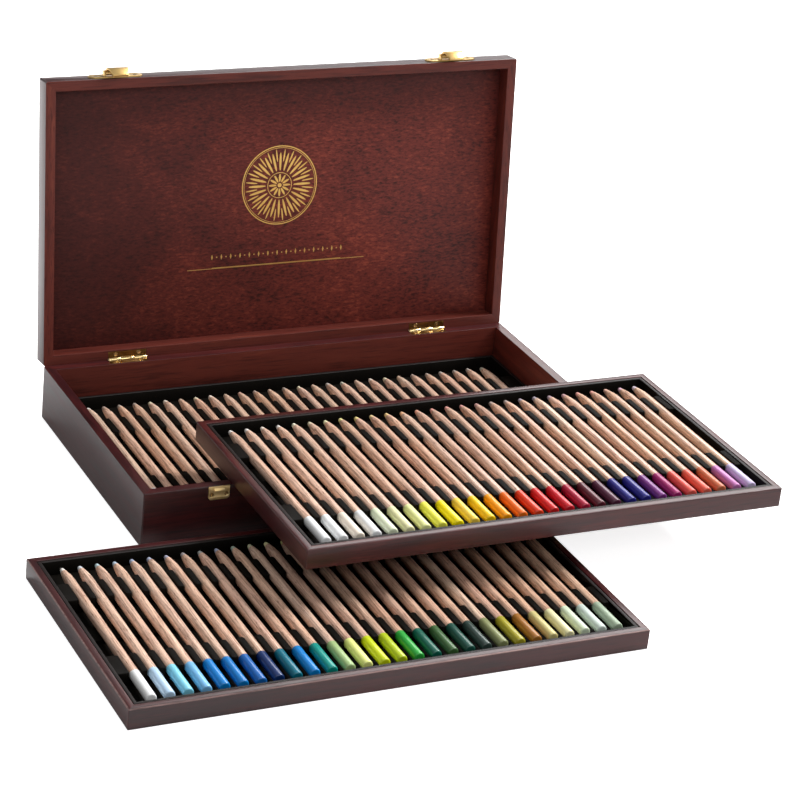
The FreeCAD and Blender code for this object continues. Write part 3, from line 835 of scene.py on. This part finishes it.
def screwHead(values):  # slotted, about Z, with its rim at zero
    work = bmesh.new()
    head = values["head"]
    line = [
        (head * 0.55, -values["deep"]),
        (head, -values["chamfer"]),
        (head * 0.97, 0),
        (head * 0.5, values["dome"]),
        (0, values["dome"] * values["crown"]),
    ]
    verts = [work.verts.new((r, 0, z)) for r, z in line]
    edges = [work.edges.new(pair) for pair in zip(verts, verts[1:])]
    bmesh.ops.spin(
        work,
        geom=verts + edges,
        axis=(0, 0, 1),
        cent=(0, 0, 0),
        angle=2 * math.pi,
        steps=values["sides"],
        use_merge=True,
    )
    bmesh.ops.remove_doubles(work, verts=work.verts, dist=0.002 * mm)
    for side in (-1, 1):
        bmesh.ops.bisect_plane(
            work,
            geom=work.verts[:] + work.edges[:] + work.faces[:],
            plane_co=(side * values["slotWide"] / 2, 0, 0),
            plane_no=(1, 0, 0),
            dist=0.001 * mm,
        )
    strip = []
    for face in work.faces:
        middle = face.calc_center_median()
        if abs(middle.x) < values["slotWide"] / 2 and middle.z > -0.02 * mm:
            strip.append(face)
    moved = bmesh.ops.extrude_face_region(work, geom=strip)["geom"]
    bmesh.ops.delete(work, geom=strip, context="FACES")
    down = [item for item in moved if isinstance(item, bmesh.types.BMVert)]
    bmesh.ops.translate(work, vec=(0, 0, -values["slotDeep"]), verts=down)
    rim = [edge for edge in work.edges if edge.is_boundary]
    bmesh.ops.holes_fill(work, edges=rim, sides=0)
    bmesh.ops.recalc_face_normals(work, faces=work.faces)
    return work


def looseParts(work):  # the points of each solid, from left to right
    parts = []
    left = dict.fromkeys(work.verts)
    while left:
        stack = [left.popitem()[0]]
        part = []
        while stack:
            vert = stack.pop()
            part.append(vert)
            for edge in vert.link_edges:
                other = edge.other_vert(vert)
                if other in left:
                    del left[other]
                    stack.append(other)
        parts.append(part)
    return sorted(parts, key=lambda part: min(vert.co.x for vert in part))


def makeScrews(node, facing):  # one head on each solid of the node, looking the way of facing
    source = bmesh.new()
    source.from_mesh(nodes[node].data)
    bmesh.ops.remove_doubles(source, verts=source.verts, dist=0.002 * mm)
    facing = Vector(facing).normalized()
    turn = facing.to_track_quat("Z", "X").to_matrix().to_4x4()
    chance = random.Random(len(node))
    one = screwHead(screwValues)
    mesh = bpy.data.meshes.new("screw")
    one.to_mesh(mesh)
    one.free()
    work = bmesh.new()
    for part in looseParts(source):
        reach = max(vert.co.dot(facing) for vert in part)
        top = [vert.co for vert in part if vert.co.dot(facing) > reach - 0.01 * mm]
        spot = sum(top, Vector()) / len(top)
        before = len(work.verts)
        work.from_mesh(mesh)
        work.verts.ensure_lookup_table()
        spin = Matrix.Rotation(chance.uniform(0, math.pi), 4, "Z")
        matrix = Matrix.Translation(spot) @ turn @ spin
        bmesh.ops.transform(work, matrix=matrix, verts=work.verts[before:])
    source.free()
    bpy.data.meshes.remove(mesh)
    smoothFaces(work)
    # the clasp's screw heads, under its lever, take the darker brass as painted shade
    finish = shadedBrass if node.startswith("clasp") else polishedBrass
    addPiece(f"{node}_heads", work, bodyOf[node], [finish], [node])


makeScrews("hinge_base_screws", (0, 0, 1))
makeScrews("hinge_lid_screws", (0, -math.cos(lean), math.sin(lean)))
makeScrews("catch_screws", (0, -1, 0))
makeScrews("clasp_screws", (0, math.sin(lean), math.cos(lean)))
print("brass fittings made")

# gold foil on the inside of the lid: a rosette over a row of lozenges and a rule
foilValues = {
    "face": 13.45 * mm,  # from the rim plane to the inner face of the panel
    "thick": 0.04 * mm,
    "sunk": 0.01 * mm,
    "centre": 127 * mm,  # from the hinge line up the panel
    "rings": [(32.0 * mm, 0.8 * mm), (30.4 * mm, 0.35 * mm), (10.4 * mm, 0.5 * mm)],
    "ringSides": 120,
    "petals": [
        {"count": 24, "from": 11.6 * mm, "to": 26.6 * mm, "wide": 1.9 * mm},
        {"count": 24, "from": 19.0 * mm, "to": 29.2 * mm, "wide": 1.2 * mm, "turned": 0.5},
        {"count": 12, "from": 2.6 * mm, "to": 9.2 * mm, "wide": 1.8 * mm},
    ],
    "hub": 1.7 * mm,
    "rowLevel": 72 * mm,
    "rowCount": 29,
    "rowHalf": 55.5 * mm,
    "lozenge": (1.5 * mm, 4.6 * mm),
    "dot": (1.1 * mm, 1.1 * mm),
    "rules": [(62.8 * mm, 76 * mm, 0.45 * mm), (63.1 * mm, 55.5 * mm, 1.0 * mm)],
}


def makeFoil(values):
    work = bmesh.new()

    def leaf(x, y, wide, tall, turn=0.0, sides=12):  # measured from the rosette's middle
        middle = Matrix.Translation((0, values["centre"], 0)) @ Matrix.Rotation(turn, 4, "Z")
        shape = Matrix.Translation((x, y, 0)) @ Matrix.Diagonal((wide / 2, tall / 2, 1, 1))
        bmesh.ops.create_circle(work, cap_ends=True, segments=sides, radius=1, matrix=middle @ shape)

    for radius, wide in values["rings"]:
        before = len(work.edges)
        for reach in (radius, radius - wide):
            bmesh.ops.create_circle(
                work,
                segments=values["ringSides"],
                radius=reach,
                matrix=Matrix.Translation((0, values["centre"], 0)),
            )
        work.edges.ensure_lookup_table()
        bmesh.ops.bridge_loops(work, edges=work.edges[before:])
    for petals in values["petals"]:
        middle = (petals["from"] + petals["to"]) / 2
        for index in range(petals["count"]):
            turn = 2 * math.pi * (index + petals.get("turned", 0)) / petals["count"]
            leaf(0, middle, petals["wide"], petals["to"] - petals["from"], turn)
    leaf(0, 0, 2 * values["hub"], 2 * values["hub"], sides=24)
    for index in range(values["rowCount"]):
        x = values["rowHalf"] * (2 * index / (values["rowCount"] - 1) - 1)
        size, sides = (values["dot"], 12) if index % 2 else (values["lozenge"], 4)
        leaf(x, values["rowLevel"] - values["centre"], *size, sides=sides)
    for level, half, wide in values["rules"]:
        matrix = Matrix.Translation((0, level, 0)) @ Matrix.Diagonal((half, wide / 2, 1, 1))
        bmesh.ops.create_grid(work, x_segments=1, y_segments=1, size=1, matrix=matrix)
    raised = bmesh.ops.extrude_face_region(work, geom=work.faces[:])["geom"]
    up = [item for item in raised if isinstance(item, bmesh.types.BMVert)]
    bmesh.ops.translate(work, vec=(0, 0, values["thick"]), verts=up)
    bmesh.ops.recalc_face_normals(work, faces=work.faces)
    lid = Matrix.Translation(hinge) @ Matrix.Rotation(-quarter - lean, 4, "X")
    depth = Matrix.Translation((0, 0, values["face"] + values["sunk"]))
    panel = depth @ Matrix.Rotation(math.pi, 4, "X")
    bmesh.ops.transform(work, matrix=lid @ panel, verts=work.verts)
    addPiece("lid_gold_foil", work, "lid", [brass("gold_foil", goldValues)])


makeFoil(foilValues)
print("foil laid")

# studio
floorValues = {
    "size": 30.0,
    "paper": 0.82,
    "glow": 0.84,  # for the camera
    "mirrorGlow": 1.0,  # for polished faces, from behind the box on
    "mirrorFrom": 0.19,
    "mirrorTo": 0.36,
    "frontGlow": 0.2,  # and in front of the trays
    "frontFrom": -0.325,
    "frontTo": -0.37,
}


def makeFloor(values):
    work = bmesh.new()
    bmesh.ops.create_grid(work, x_segments=1, y_segments=1, size=values["size"])
    mesh = bpy.data.meshes.new("floor")
    work.to_mesh(mesh)
    work.free()
    floor = bpy.data.objects.new("floor", mesh)
    bpy.context.collection.objects.link(floor)
    paint = Paint("floor_paper")
    camera, glossy, through = paint.rays()
    depth = paint.axis(paint.spot(), 1)
    mirror = paint.span(depth, values["mirrorFrom"], values["mirrorTo"], 0, values["mirrorGlow"])
    nearer = paint.span(depth, values["frontFrom"], values["frontTo"], 0, values["frontGlow"])
    glow = (camera + through) * values["glow"] + glossy * (mirror + nearer)
    paper = values["paper"]
    paint.finish(
        (paper, paper, paper),
        0.9,
        Specular_IOR_Level=0.0,
        Emission_Color=paint.mix(glow, (0, 0, 0), (1, 1, 1)),
        Emission_Strength=1.0,
    )
    mesh.materials.append(paint.material)


makeFloor(floorValues)

lamps = {
    "key": {"place": (2.9, 0, 2.9), "aim": (0, -0.05, 0.05), "size": (1.3, 1.3), "power": 218},
    "behind": {"place": (1.5, 1.75, 1.65), "aim": (0, -0.1, 0.05), "size": (1.5, 1.1), "power": 30},
    "left": {"place": (-1.7, -0.5, 2.0), "aim": (0, 0, 0.05), "size": (1.4, 1.4), "power": 7},
    "front": {"place": (0.35, -2.65, 2.0), "aim": (0, 0, 0.15), "size": (2.2, 0.9), "power": 23},
}


def makeLamp(name, values):
    data = bpy.data.lights.new(name, "AREA")
    data.shape = "RECTANGLE"
    data.size, data.size_y = values["size"]
    data.energy = values["power"]
    lamp = bpy.data.objects.new(name, data)
    lamp.visible_camera = False
    bpy.context.collection.objects.link(lamp)
    place, aim = Vector(values["place"]), Vector(values["aim"])
    turn = (place - aim).to_track_quat("Z", "Y").to_matrix().to_4x4()
    lamp.matrix_world = Matrix.Translation(place) @ turn


for name, values in lamps.items():
    makeLamp(name, values)

# a pale ceiling over darker walls, and a white backdrop low behind the floor
worldValues = {
    "ceiling": 0.4,
    "walls": 0.06,
    "turn": (0.4, 0.8),  # heights between which the walls become the ceiling
    "backdrop": (0.22, 0.12),  # and between which the backdrop begins
}


def makeWorld(values):
    world = bpy.data.worlds.new("studio")
    bpy.context.scene.world = world
    air = Paint("studio", world)
    camera, glossy, through = air.rays()
    way = air.node("ShaderNodeTexCoord", output="Generated")
    height = air.axis(way, 2)
    light = air.span(height, *values["turn"], values["walls"], values["ceiling"])
    backdrop = air.span(height, *values["backdrop"], 0, 1) * (camera + glossy + through)
    seen = air.mix(air.maths("MAXIMUM", light, backdrop), (0, 0, 0), (1, 1, 1))
    sky = air.node("ShaderNodeBackground", None, {"Color": seen, "Strength": 1.0})
    air.node("ShaderNodeOutputWorld", None, {"Surface": sky})


makeWorld(worldValues)
bpy.context.scene.view_settings.view_transform = "Standard"
print("studio set up")

bpy.context.view_layer.update()
